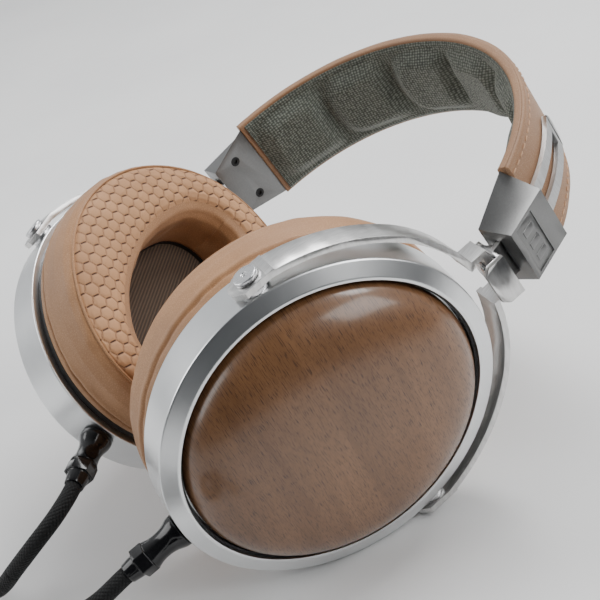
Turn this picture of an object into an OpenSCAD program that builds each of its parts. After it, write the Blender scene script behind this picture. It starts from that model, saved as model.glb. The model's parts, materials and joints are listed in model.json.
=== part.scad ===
// Over ear headphones with wooden cups, lying on their rear side, lead coiled beside them.
// The design is drawn with X to the left ear, Y to the crown and Z to the front, with the
// origin at the centre of the headband's arc. The last step lays it on the table.

/* [Cups] */
// Cup oval's size towards the crown
cup_height = 100; // [94:1:104]
// Cup oval's size from front to back
cup_width = 90; // [84:1:92]
// Radius of the rounded ends of the cup's oval
cup_end_radius = 40; // [36:0.5:41]
// Depth of the metal ring's side wall
ring_depth = 13.4; // [12.6:0.2:16]
// Width of the bevel between the ring's crest and the wood
bevel_width = 4.4; // [3:0.2:6]
// Height of the wooden dome above the ring's crest
dome_height = 14; // [8:0.5:18]
// Thickness of the wooden shell
wood_wall = 4; // [3:0.5:6]

/* [Ear pads] */
// Thickness of an ear pad
pad_thickness = 21; // [16:0.5:26]
// How far the pad bulges past the ring
pad_bulge = 0.6; // [0:0.1:0.8]
// Opening's size towards the crown
pad_opening_height = 67; // [60:1:70]
// Opening's size from front to back
pad_opening_width = 39; // [36:1:46]

/* [Driver] */
// Driver diameter
driver_diameter = 50; // [40:1:52]
// Magnet diameter
magnet_diameter = 27; // [20:1:32]

/* [Yokes] */
// Width of the yoke's strip
yoke_width = 10; // [8:0.5:11]
// Thickness of the yoke's strip
yoke_thickness = 1.8; // [1.4:0.1:2]
// Gap between the ring and the yoke's strip
yoke_gap = 1.3; // [1.2:0.1:1.8]
// Extra gap between the ring and the strip at the crown end
yoke_crown_gap = 2.6; // [2.4:0.1:3]
// Height of the raised bridge above the strip
bridge_rise = 4.2; // [4:0.2:5]
// Height of the pivot screws above the cup's centre
pivot_offset = 7.4; // [5:0.2:9]
// Inward lean of the yokes
yoke_lean = 16; // [14:0.5:18]

/* [Headband] */
// Outside radius of the headband
band_radius = 69; // [68:0.5:72]
// Width of the headband
band_width = 33; // [30:1:36]
// Thickness of the leather cover
cover_thickness = 4; // [3.6:0.2:5]
// Thickness of the mesh cushion
cushion_thickness = 5.6; // [4:0.2:8]

/* [Sliders] */
// Width of a slider's strip
slider_width = 12; // [10:0.5:14]
// Thickness of a slider's strip
slider_thickness = 1.4; // [1.2:0.1:1.6]
// Length of a slider's strip above its end block
slider_reach = 36; // [32:1:42]

/* [Lead] */
// Diameter of the braided lead
lead_diameter = 5; // [4.4:0.1:5.2]
// Coil's diameter at the middle of its turns
coil_diameter = 56; // [54:1:58]
// Diameter of the plug's body
plug_diameter = 9; // [8:0.5:10]

/* [Pose] */
// Tilt of the left cup on its pivots
left_tilt = 2.6; // [0:0.2:6]
// Swivel of the left yoke
left_swivel = -2.5; // [-4:0.5:4]
// Tilt of the right cup on its pivots
right_tilt = 19; // [14:0.5:19.5]
// Swivel of the right yoke
right_swivel = 21; // [14:0.5:22]

/* [Hidden] */
$fn = 96;

// Colours
silver = [0.80, 0.81, 0.82];
steel = [0.70, 0.71, 0.72];
wood = [0.55, 0.34, 0.21];
tan_leather = [0.72, 0.53, 0.40];
mesh_grey = [0.55, 0.56, 0.52];
black = [0.05, 0.05, 0.05];
brown_cloth = [0.30, 0.22, 0.17];

// The cup's oval: four tangent arcs, end arcs of cup_end_radius and flatter side arcs
half_a = cup_height / 2;
half_b = cup_width / 2;
ring_flare = 0.75;
bevel_rise = 2.2;
lip_width = 0.9;
gasket_thickness = 0.6;
gasket_rise = 0.6;
ledge_depth = 3;
ledge_inset = 9.5;
ledge_thickness = 2.5;
ring_wall = 3;
rim_inset = bevel_width + lip_width;
wood_gap = 0.45;
wood_inset = rim_inset + gasket_thickness;

// Behind the ring: pad ring, dust cloth and pad, measured along the cup's axis
pad_ring_thickness = 2;
pad_ring_inset = 1.4;
pad_base = -ring_depth - pad_ring_thickness;
pad_crown = 2;
seam_inset = 0.8;
pad_round = 5;
pad_end_radius = 14.5;
cloth_thickness = 0.6;
cloth_margin = 3;

// Baffle and driver
baffle_thickness = 2.5;
basket_depth = 5;
basket_wall = 2;
basket_back = 1.2;
magnet_depth = 4.6;
voice_hole = 5;
diaphragm_thickness = 0.4;

// Jack socket in the bottom of the ring
jack_radius = 3.4;
jack_depth_axis = -7.4;
jack_length = 12;
jack_proud = 0.8;
plug_pin_radius = 1.75;
plug_bore_radius = 1.8;
plug_pin_length = 9;

// Connector in the jack: radii along its length, then the nut's flats and the sleeve
connector_profile = [
  [5, 0], [5, 1.2], [4.6, 2.4], [3.9, 4.2], [3.6, 6], [3.6, 8], [3.9, 9.8], [4.4, 11]
];
connector_length = 11;
nut_radius = 4.6;
nut_length = 4;
sleeve_length = 4;
sleeve_start_radius = 3.5;
sleeve_end_radius = 2.9;

// Lead's routes: X, Y and the height of the lead's underside
lead_radius = lead_diameter / 2;
lead_sides = 12;
left_route = [
  [27.5, -111.5, 16.5], [20.5, -120.5, 12], [10.5, -127, 7], [-1, -131.5, 3], [-13, -135.5, 0.6],
  [-25.5, -139.5, 0], [-38, -144.5, 0], [-49.5, -151.5, 0], [-58.5, -161.5, 0], [-62.5, -174, 0],
  [-60.5, -187, 0], [-53, -198, 0], [-42, -205.5, 0], [-29, -209, 0.4], [-16, -209.3, 1.6]
];
right_route = [
  [0.5, -104.5, 29.5], [-1.5, -113.5, 24], [-7.5, -120, 16.5], [-15.5, -124, 8.5], [-25, -126, 2.5],
  [-37, -128.5, 0], [-50, -132.5, 0], [-62, -140, 0], [-71.5, -150.5, 0], [-77, -164, 0],
  [-77.5, -178, 0], [-73, -192, 0], [-64, -204, 0], [-52, -212.5, 0], [-38, -216.5, 0.2],
  [-26, -217.4, 0.8], [-16, -217.3, 1.6]
];
trunk_route = [[30, -213, 1.3], [40, -211.8, 0.8], [47, -210.5, 0.8]];
tail_route = [[99.1, -158, 4.4], [99.1, -153, 2.8]];
splitter_point = [-4, -213.3];
splitter_length = 24;
splitter_half = 7.6;
splitter_end_half = 4.5;
splitter_height = 9;
splitter_spread = 4;
plug_point = [99, -148];
plug_length = 24;
plug_tip_length = 14;
coil_point = [66, -176];
coil_radius = coil_diameter / 2;
tangent_back = 12;
tie_thickness = 0.8;
tie_width = 8;
tie_angle = -20;

// Pivots and yokes, measured from the pivot axis
pivot_depth = 4.6;
screw_head_radius = 3.5;
screw_head_height = 1.5;
screw_shoulder_radius = 2;
screw_thread_radius = 1.5;
running_clearance = 0.05;
washer_radius = 4.2;
face_gap = 0.1;
tab_round = 3;
tab_below = 6;
tab_above = 12;
bridge_half = 6.5;
bridge_width = yoke_width * 0.8;
swivel_pin_radius = 2;
swivel_head_radius = 3.2;
swivel_head_height = 1.2;
flange_gap = 0.3;

// Headband, end blocks and sliders, measured from the centre of the band's arc
band_end_angle = 75.5;
block_angle = 83;
block_length = 17;
block_outer = 6.5;
block_inner = 4;
block_face_half = 9;
block_top_half = 15.5;
block_bottom_half = 10.5;
block_top_outer_half = 10.5;
spring_thickness = 0.8;
spring_half = 5.5;
spring_inset = 2.4;
spring_end_angle = 84;
cushion_end_angle = 74;
strip_clearance = 0.3;
slot_half = 2.2;
slot_angle_in = 5;

// Lying on the table: turns about the left-right and the crown axes, and the arc centre's place
lay_pitch = 19.3;
lay_roll = -2.5;
lay_shift = [3.55, 18.63, 64.394];

// Arcs of a four-arc oval with half sizes a, b and end radius r
function side_radius(a, b, r) = (pow(a - r, 2) + b * b - r * r) / (2 * (b - r));
function side_centre(a, b, r) = side_radius(a, b, r) - b;
function end_angle(a, b, r) = atan2(side_centre(a, b, r), a - r);

// Frames as matrices
function shift(v) = [[1, 0, 0, v[0]], [0, 1, 0, v[1]], [0, 0, 1, v[2]], [0, 0, 0, 1]];
function turn_x(t) = [[1, 0, 0, 0], [0, cos(t), -sin(t), 0], [0, sin(t), cos(t), 0], [0, 0, 0, 1]];
function turn_y(t) = [[cos(t), 0, sin(t), 0], [0, 1, 0, 0], [-sin(t), 0, cos(t), 0], [0, 0, 0, 1]];
function turn_z(t) = [[cos(t), -sin(t), 0, 0], [sin(t), cos(t), 0, 0], [0, 0, 1, 0], [0, 0, 0, 1]];
function flip_x() = [[-1, 0, 0, 0], [0, 1, 0, 0], [0, 0, 1, 0], [0, 0, 0, 1]];

// A hanger is the bracket's frame: X up the swivel axis, Y to the front, Z outward
strip_in = ring_flare + yoke_gap;
strip_out = strip_in + yoke_thickness;
yoke_half_a = half_a + yoke_crown_gap;
yoke_half_b = half_b + 0.4;
bridge_top = yoke_half_a + strip_out + bridge_rise;
hanger_angle = 93.6;
hanger_radius = band_radius - 1.7;
hanger_point = [hanger_radius * sin(hanger_angle), hanger_radius * cos(hanger_angle), 0];
hanger_local = shift(hanger_point) * turn_z(90 - yoke_lean) * turn_x(90);
pivot_drop = bridge_top - pivot_offset;
function yoke_local(swivel) = hanger_local * turn_x(swivel) * shift([-pivot_drop, 0, 0]);
function cup_local(swivel, tilt) =
  yoke_local(swivel) * turn_y(-tilt) * shift([-pivot_offset, 0, pivot_depth]);

left_side = shift(lay_shift) * turn_y(lay_roll) * turn_x(lay_pitch);
right_side = left_side * flip_x();
left_hanger = left_side * hanger_local;
right_hanger = right_side * hanger_local;
left_yoke = left_side * yoke_local(left_swivel);
right_yoke = right_side * yoke_local(right_swivel);
left_cup = left_side * cup_local(left_swivel, left_tilt);
right_cup = right_side * cup_local(right_swivel, right_tilt);
left_block = left_side * turn_z(-block_angle);
right_block = right_side * turn_z(-block_angle);

// Shared shapes
module oval(a, b, r, off = 0) {
  ca = a - r;
  rb = side_radius(a, b, r);
  cb = side_centre(a, b, r);
  join = ca + (r + off) * cos(end_angle(a, b, r));
  for (s = [-1, 1])
    translate([s * ca, 0])
      circle(r + off);
  intersection() {
    translate([0, cb])
      circle(rb + off);
    translate([0, -cb])
      circle(rb + off);
    square([2 * join, 4 * b], center = true);
  }
}

module side_wedge(a, b, r) {
  cb = side_centre(a, b, r);
  t = end_angle(a, b, r);
  reach = 3 * a;
  translate([0, 0, -reach])
    linear_extrude(2 * reach)
      polygon([
        [0, -cb],
        [reach * cos(t), reach * sin(t) - cb],
        [-reach * cos(t), reach * sin(t) - cb]
      ]);
}

module oval_sweep(a, b, r) {
  rb = side_radius(a, b, r);
  cb = side_centre(a, b, r);
  reach = 3 * a;
  for (turn = [0, 180])
    rotate(turn) {
      intersection() {
        translate([0, -cb, 0])
          rotate_extrude()
            translate([rb, 0])
              children();
        side_wedge(a, b, r);
      }
      difference() {
        intersection() {
          translate([a - r, 0, 0])
            rotate_extrude()
              translate([r, 0])
                children();
          translate([a - r, -reach, -reach])
            cube([reach, 2 * reach, 2 * reach]);
        }
        side_wedge(a, b, r);
        rotate(180)
          side_wedge(a, b, r);
      }
    }
}

module cup_oval(off) {
  oval(half_a, half_b, cup_end_radius, off);
}

module cup_sweep() {
  oval_sweep(half_a, half_b, cup_end_radius)
    children();
}

module pad_opening(off) {
  oval(pad_opening_height / 2, pad_opening_width / 2, pad_end_radius, off);
}

module band_arc(from, to) {
  rotate(90 - to)
    rotate_extrude(angle = to - from)
      children();
}

// Cup pieces, drawn on the crest plane: X to the crown, Y to the front, Z outward
module cup_ring() {
  difference() {
    cup_sweep()
      polygon([
        [ring_flare, -ring_depth],
        [0, 0],
        [-bevel_width, bevel_rise],
        [-rim_inset, bevel_rise],
        [-rim_inset, -ledge_depth],
        [-ledge_inset, -ledge_depth],
        [-ledge_inset, -ledge_depth - ledge_thickness],
        [-ring_wall, -ledge_depth - ledge_thickness],
        [-ring_wall, -ring_depth]
      ]);
    jack_space();
    for (s = [-1, 1])
      pivot_space(s);
  }
}

module jack_space() {
  translate([-half_a - 2, 0, jack_depth_axis])
    rotate([0, 90, 0])
      cylinder(r = jack_radius, h = jack_length + 2);
}

spot_y = half_b - 0.7;
tab_in = half_b + yoke_gap;
tab_out = tab_in + yoke_thickness;

module along_pivot(side, from, to, r) {
  translate([pivot_offset, side * from, -pivot_depth])
    rotate([-90 * side, 0, 0])
      cylinder(r = r, h = to - from);
}

module pivot_space(side) {
  along_pivot(side, spot_y, half_b + 3, washer_radius + 0.2);
  along_pivot(side, spot_y - 6, spot_y + 1, screw_thread_radius);
}

module pivot_screws() {
  for (s = [-1, 1])
    difference() {
      union() {
        along_pivot(s, spot_y - 3.5, spot_y + 1, screw_thread_radius);
        along_pivot(s, spot_y, tab_out + face_gap, screw_shoulder_radius);
        along_pivot(s, tab_out + face_gap, tab_out + face_gap + screw_head_height, screw_head_radius);
      }
      along_pivot(s, tab_out + face_gap + screw_head_height - 0.6, tab_out + 4, 0.7);
    }
}

module pivot_washers() {
  for (s = [-1, 1])
    difference() {
      along_pivot(s, spot_y, tab_in - face_gap, washer_radius);
      along_pivot(s, spot_y - 1, tab_in + 1, screw_shoulder_radius);
    }
}

module wood_gasket() {
  cup_sweep()
    polygon([
      [-rim_inset, -ledge_depth],
      [-rim_inset, gasket_rise],
      [-wood_inset, gasket_rise],
      [-wood_inset, -ledge_depth]
    ]);
}

// Wooden shell: rings of a rounded-shoulder dome outside, the same dome one wall smaller inside
dome_power = 2.6;
dome_rings = 12;
dome_sides = 60;
dome_steps = [for (i = [1:dome_rings]) 90 * i / dome_rings];
function dome_ring(a, b, h, t) = [
  for (i = [0:dome_sides - 1])
    [
      a * pow(sin(t), 2 / dome_power) * cos(360 * i / dome_sides),
      b * pow(sin(t), 2 / dome_power) * sin(360 * i / dome_sides),
      h * pow(abs(cos(t)), 2 / dome_power) - ledge_depth
    ]
];
function dome_points(a, b, h) = concat(
  [[0, 0, h - ledge_depth]],
  [for (t = dome_steps) for (p = dome_ring(a, b, h, t)) p]
);
function dome_index(base, ring, i) = base + 1 + (ring - 1) * dome_sides + i % dome_sides;
function dome_faces(base) = concat(
  [for (i = [0:dome_sides - 1]) [base, dome_index(base, 1, i + 1), dome_index(base, 1, i)]],
  [for (k = [1:dome_rings - 1]) for (i = [0:dome_sides - 1])
    [dome_index(base, k, i), dome_index(base, k, i + 1), dome_index(base, k + 1, i + 1)]],
  [for (k = [1:dome_rings - 1]) for (i = [0:dome_sides - 1])
    [dome_index(base, k, i), dome_index(base, k + 1, i + 1), dome_index(base, k + 1, i)]]
);
function backward(face) = [face[2], face[1], face[0]];

module wood_cup() {
  a = half_a - wood_inset - wood_gap;
  b = half_b - wood_inset - wood_gap;
  h = dome_height + ledge_depth;
  inner = 1 + dome_rings * dome_sides;
  rim = [for (i = [0:dome_sides - 1])
    [
      dome_index(0, dome_rings, i),
      dome_index(0, dome_rings, i + 1),
      dome_index(inner, dome_rings, i + 1),
      dome_index(inner, dome_rings, i)
    ]];
  polyhedron(
    points = concat(dome_points(a, b, h), dome_points(a - wood_wall, b - wood_wall, h - wood_wall)),
    faces = concat(dome_faces(0), [for (f = dome_faces(inner)) backward(f)], rim)
  );
}

module baffle() {
  difference() {
    translate([0, 0, -ring_depth])
      linear_extrude(baffle_thickness)
        cup_oval(-ring_wall);
    translate([0, 0, -ring_depth - 1])
      cylinder(d = driver_diameter, h = baffle_thickness + 2);
  }
}

module driver_basket() {
  back = basket_depth - ring_depth;
  rotate_extrude()
    polygon([
      [driver_diameter / 2, -ring_depth],
      [driver_diameter / 2, back],
      [voice_hole, back],
      [voice_hole, back - basket_back],
      [driver_diameter / 2 - basket_wall, back - basket_back],
      [driver_diameter / 2 - basket_wall, -ring_depth]
    ]);
}

module driver_magnet() {
  translate([0, 0, basket_depth - ring_depth])
    cylinder(d = magnet_diameter, h = magnet_depth);
}

module driver_diaphragm() {
  rotate_extrude()
    polygon([
      [0, 1.6 - ring_depth],
      [driver_diameter / 8, 1.4 - ring_depth],
      [driver_diameter / 4, 0.8 - ring_depth],
      [driver_diameter / 2 - basket_wall, 0.8 - ring_depth],
      [driver_diameter / 2 - basket_wall, 0.8 + diaphragm_thickness - ring_depth],
      [driver_diameter / 4, 0.8 + diaphragm_thickness - ring_depth],
      [driver_diameter / 8, 1.4 + diaphragm_thickness - ring_depth],
      [0, 1.6 + diaphragm_thickness - ring_depth]
    ]);
}

module pad_ring() {
  difference() {
    translate([0, 0, pad_base])
      linear_extrude(pad_ring_thickness)
        cup_oval(-pad_ring_inset);
    translate([0, 0, pad_base - 1])
      linear_extrude(pad_ring_thickness + 2)
        pad_opening(0);
    translate([0, 0, -ring_depth - cloth_thickness])
      linear_extrude(pad_ring_thickness)
        pad_opening(cloth_margin);
  }
}

module dust_cloth() {
  translate([0, 0, -ring_depth - cloth_thickness])
    linear_extrude(cloth_thickness)
      pad_opening(cloth_margin);
}

module ear_pad() {
  seam = pad_base - pad_thickness;
  difference() {
    cup_sweep()
      polygon([
        [-pad_ring_inset, pad_base],
        [-0.8, pad_base - 1.5],
        [0.2, pad_base - 0.3 * pad_thickness],
        [pad_bulge, pad_base - 0.6 * pad_thickness],
        [0.2, pad_base - 0.85 * pad_thickness],
        [-seam_inset, seam],
        [-3, seam - 0.7 * pad_crown],
        [-9, seam - pad_crown],
        [-18, seam - 0.8 * pad_crown],
        [-27, seam - 0.4 * pad_crown],
        [-27, pad_base]
      ]);
    translate([0, 0, seam - 2 * pad_crown])
      linear_extrude(pad_thickness + 3 * pad_crown)
        pad_opening(0);
    oval_sweep(pad_opening_height / 2, pad_opening_width / 2, pad_end_radius)
      polygon([
        [-1, seam + pad_round],
        [0, seam + pad_round],
        [0.3 * pad_round, seam + 0.4 * pad_round],
        [pad_round, seam - 0.3 * pad_crown],
        [pad_round + 2, seam - 2 * pad_crown],
        [-1, seam - 2 * pad_crown]
      ]);
  }
}

module jack_socket() {
  translate([-half_a - jack_proud, 0, jack_depth_axis])
    rotate([0, 90, 0])
      difference() {
        cylinder(r = jack_radius, h = jack_length);
        translate([0, 0, -1])
          cylinder(r = plug_bore_radius, h = plug_pin_length + 1.5);
      }
}

// Connector pieces, drawn along X from the jack's face
module at_jack() {
  translate([-half_a - jack_proud, 0, jack_depth_axis])
    rotate([0, -90, 0])
      children();
}

module connector() {
  at_jack()
    rotate_extrude()
      polygon(concat([[0, 0]], connector_profile, [[0, connector_length]]));
}

module connector_collar() {
  at_jack()
    translate([0, 0, connector_length]) {
      cylinder(r = nut_radius, h = nut_length, $fn = 6);
      translate([0, 0, nut_length])
        cylinder(r1 = sleeve_start_radius, r2 = sleeve_end_radius, h = sleeve_length);
    }
}

module connector_pin() {
  at_jack()
    translate([0, 0, -plug_pin_length])
      cylinder(r = plug_pin_radius, h = plug_pin_length);
}

// Lead: rings of points square to a route, joined into a tube
function lead_start(frame) =
  let (p = frame * [
    -half_a - jack_proud - connector_length - nut_length - sleeve_length, 0, jack_depth_axis, 1
  ])
    [p[0], p[1], p[2]];
function lead_way(frame) = [-frame[0][0], -frame[1][0], -frame[2][0]];
function on_table(route) = [for (p = route) [p[0], p[1], p[2] + lead_radius]];
function unit(v) = v / norm(v);
function way(route, i, first, last) =
  i == 0 ? first :
  i == len(route) - 1 ? last :
  unit(route[i + 1] - route[i - 1]);
function tube_ring(p, w) =
  let (side = unit(cross(w, [0, 0, 1])), top = cross(side, w))
    [for (k = [0:lead_sides - 1])
      p + lead_radius * (cos(360 * k / lead_sides) * side + sin(360 * k / lead_sides) * top)];

module lead_tube(route, first, last) {
  rings = [for (i = [0:len(route) - 1]) tube_ring(route[i], way(route, i, first, last))];
  end = (len(route) - 1) * lead_sides;
  polyhedron(
    points = [for (r = rings) for (p = r) p],
    faces = concat(
      [[for (k = [0:lead_sides - 1]) k]],
      [for (i = [0:len(route) - 2]) for (k = [0:lead_sides - 1])
        [
          i * lead_sides + k,
          (i + 1) * lead_sides + k,
          (i + 1) * lead_sides + (k + 1) % lead_sides
        ]],
      [for (i = [0:len(route) - 2]) for (k = [0:lead_sides - 1])
        [
          i * lead_sides + k,
          (i + 1) * lead_sides + (k + 1) % lead_sides,
          i * lead_sides + (k + 1) % lead_sides
        ]],
      [[for (k = [0:lead_sides - 1]) end + lead_sides - 1 - k]]
    )
  );
}

splitter_z = splitter_height / 2;
function splitter_port(side) =
  [splitter_point[0], splitter_point[1] + side * splitter_spread, splitter_z];

module lead_left() {
  route = concat([lead_start(left_cup)], on_table(left_route), [splitter_port(1)]);
  color(black)
    lead_tube(route, lead_way(left_cup), [1, 0, 0]);
}

module lead_right() {
  route = concat([lead_start(right_cup)], on_table(right_route), [splitter_port(-1)]);
  color(black)
    lead_tube(route, lead_way(right_cup), [1, 0, 0]);
}

module lead_splitter() {
  color(silver)
  translate([splitter_point[0], splitter_point[1], 0])
    difference() {
      linear_extrude(splitter_height)
        polygon([
          [0, -splitter_half + 1],
          [1, -splitter_half],
          [splitter_length / 2, -splitter_half],
          [splitter_length, -splitter_end_half],
          [splitter_length, splitter_end_half],
          [splitter_length / 2, splitter_half],
          [1, splitter_half],
          [0, splitter_half - 1]
        ]);
      for (s = [-1, 1])
        translate([splitter_length / 3, s * (splitter_half + 0.4), -1])
          cylinder(r = 1, h = splitter_height + 2);
    }
}

module lead_trunk() {
  start = [splitter_point[0] + splitter_length, splitter_point[1], splitter_z];
  end = [coil_point[0] - tangent_back, coil_point[1] - coil_radius - lead_diameter, tie_thickness + lead_radius];
  color(black)
    lead_tube(concat([start], on_table(trunk_route), [end]), [1, 0, 0], [1, 0, 0]);
}

module lead_coil() {
  color(black)
  translate([coil_point[0], coil_point[1], tie_thickness])
    rotate_extrude()
      translate([coil_radius, 0]) {
        translate([-1.5 * lead_diameter, lead_radius])
          square([3 * lead_diameter, lead_diameter]);
        translate([-lead_diameter, 0])
          square([2 * lead_diameter, 2 * lead_diameter]);
        for (s = [-1, 1])
          for (z = [0.5, 1.5])
            translate([s * lead_diameter, z * lead_diameter])
              circle(lead_radius);
      }
}

module coil_tie() {
  half = 1.5 * lead_diameter + 0.1;
  high = 2 * lead_diameter + 0.1;
  color(black)
  translate([coil_point[0], coil_point[1], 0])
    rotate(tie_angle)
      translate([coil_radius, 0, 0])
        difference() {
          translate([-half - tie_thickness, -tie_width / 2, 0])
            cube([2 * half + 2 * tie_thickness, tie_width, high + 2 * tie_thickness]);
          translate([-half, -tie_width, tie_thickness])
            cube([2 * half, 2 * tie_width, high]);
        }
}

module lead_tail() {
  start = [coil_point[0] + coil_radius + lead_diameter, coil_point[1] + tangent_back, tie_thickness + 3 * lead_radius];
  end = [plug_point[0], plug_point[1], plug_diameter / 2];
  color(black)
    lead_tube(concat([start], on_table(tail_route), [end]), [0, 1, 0], [0, 1, 0]);
}

module plug_body() {
  color(black)
  translate([plug_point[0], plug_point[1], plug_diameter / 2])
    rotate([-90, 0, 0])
      rotate_extrude()
        polygon([
          [0, 0],
          [0.66 * plug_diameter / 2, 0],
          [0.8 * plug_diameter / 2, 6],
          [plug_diameter / 2, 7],
          [plug_diameter / 2, plug_length - 1],
          [plug_diameter / 2 - 1, plug_length],
          [0, plug_length]
        ]);
}

module plug_pin() {
  color(steel)
  translate([plug_point[0], plug_point[1] + plug_length, plug_diameter / 2])
    rotate([-90, 0, 0])
      rotate_extrude()
        polygon([
          [0, 0],
          [plug_pin_radius, 0],
          [plug_pin_radius, plug_tip_length - 2.9],
          [1.3, plug_tip_length - 2.2],
          [plug_pin_radius, plug_tip_length - 1.3],
          [0.7, plug_tip_length],
          [0, plug_tip_length]
        ]);
}

// Yoke, drawn about the pivot axis: X to the crown, Y to the front, Z outward
module yoke() {
  arm_start = pivot_offset + tab_above - 8;
  riser_in = yoke_half_a + strip_in - 0.6;
  difference() {
    translate([-pivot_offset, 0, 0])
      union() {
        difference() {
          intersection() {
            oval_sweep(yoke_half_a, yoke_half_b, cup_end_radius)
              translate([strip_in, -yoke_width / 2])
                square([yoke_thickness, yoke_width]);
            translate([arm_start, -cup_width, -yoke_width])
              cube([cup_height, 2 * cup_width, 2 * yoke_width]);
          }
          translate([half_a / 2, -bridge_half, -yoke_width])
            cube([half_a, 2 * bridge_half, 2 * yoke_width]);
        }
        for (s = [-1, 1])
          translate([riser_in, s * (bridge_half + yoke_thickness / 2), 0])
            translate([0, -yoke_thickness / 2, -bridge_width / 2])
              cube([bridge_top - riser_in, yoke_thickness, bridge_width]);
        translate([bridge_top - yoke_thickness, -bridge_half, -bridge_width / 2])
          cube([yoke_thickness, 2 * bridge_half, bridge_width]);
        for (s = [0, 1])
          mirror([0, s, 0])
            yoke_tab(arm_start);
      }
    translate([pivot_drop - 2 * yoke_thickness, 0, 0])
      rotate([0, 90, 0])
        cylinder(r = swivel_pin_radius + running_clearance, h = 4 * yoke_thickness);
  }
}

module yoke_tab(arm_start) {
  low = pivot_offset - tab_below;
  high = arm_start + 2.5;
  half = yoke_width / 2;
  difference() {
    translate([0, tab_out, 0])
      rotate([90, 0, 0])
        linear_extrude(yoke_thickness)
          polygon([
            [low, -half + tab_round],
            [low + tab_round, -half],
            [high, -half],
            [high, half],
            [low + tab_round, half],
            [low, half - tab_round]
          ]);
    translate([pivot_offset, tab_in - 1, 0])
      rotate([-90, 0, 0])
        cylinder(r = screw_shoulder_radius + running_clearance, h = yoke_thickness + 2);
  }
}

// Slider: curved strip on the band with a sheet-metal bracket at its lower end
strip_radius = band_radius + strip_clearance;
block_half_angle = atan(block_length / 2 / band_radius);
slider_top_angle = block_angle - block_half_angle - slider_reach / strip_radius * 180 / PI;
slider_end_angle = hanger_angle - 0.7;
flange_thickness = 1.6;
flange_half = 6;
flange_in = -4.4;
plate_half = 7;
plate_in = 7.2;
plate_drop = 5.4;
plate_round = 2;

module slider_strip() {
  difference() {
    band_arc(slider_top_angle, slider_end_angle)
      translate([strip_radius, -slider_width / 2])
        square([slider_thickness, slider_width]);
    band_arc(slider_top_angle + slot_angle_in, block_angle - block_half_angle - 2)
      translate([strip_radius - 1, -slot_half])
        square([slider_thickness + 2, 2 * slot_half]);
    for (s = [-1, 1])
      rotate(90 - slider_top_angle)
        translate([strip_radius - 1, 0, s * slider_width / 2])
          rotate([45, 0, 0])
            translate([0, -2, -2])
              cube([slider_thickness + 2, 4, 4]);
  }
}

module bracket() {
  difference() {
    union() {
      translate([flange_gap, -flange_half, flange_in])
        cube([flange_thickness, 2 * flange_half, plate_in + flange_thickness - flange_in]);
      translate([flange_gap + flange_thickness - plate_drop - flange_thickness, 0, plate_in])
        linear_extrude(flange_thickness)
          polygon([
            [0, plate_round - plate_half],
            [plate_round, -plate_half],
            [plate_drop + flange_thickness, -plate_half],
            [plate_drop + flange_thickness, plate_half],
            [plate_round, plate_half],
            [0, plate_half - plate_round]
          ]);
    }
    translate([-1, 0, 0])
      rotate([0, 90, 0])
        cylinder(r = swivel_pin_radius, h = 4);
  }
}

module swivel_pin() {
  rotate([0, 90, 0])
    union() {
      translate([0, 0, -yoke_thickness - face_gap - swivel_head_height])
        cylinder(r = swivel_head_radius, h = swivel_head_height);
      translate([0, 0, -yoke_thickness - 2 * face_gap])
        cylinder(r = swivel_pin_radius, h = yoke_thickness + 2 * face_gap + flange_gap + flange_thickness);
    }
}

// End block, drawn in its own frame: X down the band, Y outward, Z to the front
block_y_in = band_radius - block_inner;
block_y_out = band_radius + block_outer;
badge_drop = 2.4;
badge_half_x = 4;
badge_half_z = 8;
badge_recess = 0.8;
badge_thickness = 0.6;
screw_z = 8;
screw_head_r = 1.7;
screw_shank_r = 1.1;
detent_radius = 1.2;
detent_tip_radius = 0.8;
channel_gap = 0.25;

module block_body() {
  h = block_length / 2;
  polyhedron(
    points = [
      [-h, block_y_in, -block_top_half],
      [-h, block_y_in, block_top_half],
      [h, block_y_in, block_bottom_half],
      [h, block_y_in, -block_bottom_half],
      [-h, block_y_out, -block_face_half],
      [-h, block_y_out, block_face_half],
      [h, block_y_out, block_face_half],
      [h, block_y_out, -block_face_half]
    ],
    faces = [
      [0, 1, 2, 3], [7, 6, 5, 4], [4, 5, 1, 0], [3, 2, 6, 7],
      [5, 6, 2], [5, 2, 1], [3, 7, 4], [3, 4, 0]
    ]
  );
}

module end_block() {
  difference() {
    block_body();
    rotate(block_angle) {
      band_arc(block_angle - 20, block_angle + 20)
        translate([strip_radius - channel_gap, -slider_width / 2 - channel_gap])
          square([slider_thickness + 2 * channel_gap, slider_width + 2 * channel_gap]);
      spring_strip();
    }
    translate([badge_drop - badge_half_x, block_y_out - badge_recess, -badge_half_z])
      cube([2 * badge_half_x, badge_recess + 1, 2 * badge_half_z]);
    for (s = [-1, 1])
      block_screw(s, 1);
    detent_bore();
  }
}

module along_radius(x, z, from, to, r) {
  translate([x, from, z])
    rotate([-90, 0, 0])
      cylinder(r = r, h = to - from);
}

module block_screw(side, over) {
  along_radius(0, side * screw_z, block_y_in - over, block_y_in + 1, screw_head_r);
  along_radius(0, side * screw_z, block_y_in + 1 - 0.1, strip_radius - 0.6, screw_shank_r);
}

module block_screws() {
  for (s = [-1, 1])
    difference() {
      block_screw(s, 0);
      translate([0, block_y_in - 0.1, s * screw_z])
        rotate([-90, 0, 0])
          cylinder(r = 0.9, h = 0.8, $fn = 6);
    }
}

module detent_bore() {
  along_radius(0, 0, strip_radius, block_y_out - badge_recess - 0.4, detent_radius);
}

module slider_detent() {
  low = strip_radius + slider_thickness + channel_gap;
  along_radius(0, 0, low, low + 1, detent_tip_radius);
  along_radius(0, 0, low + 0.9, block_y_out - badge_recess - 0.4, detent_radius);
}

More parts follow.
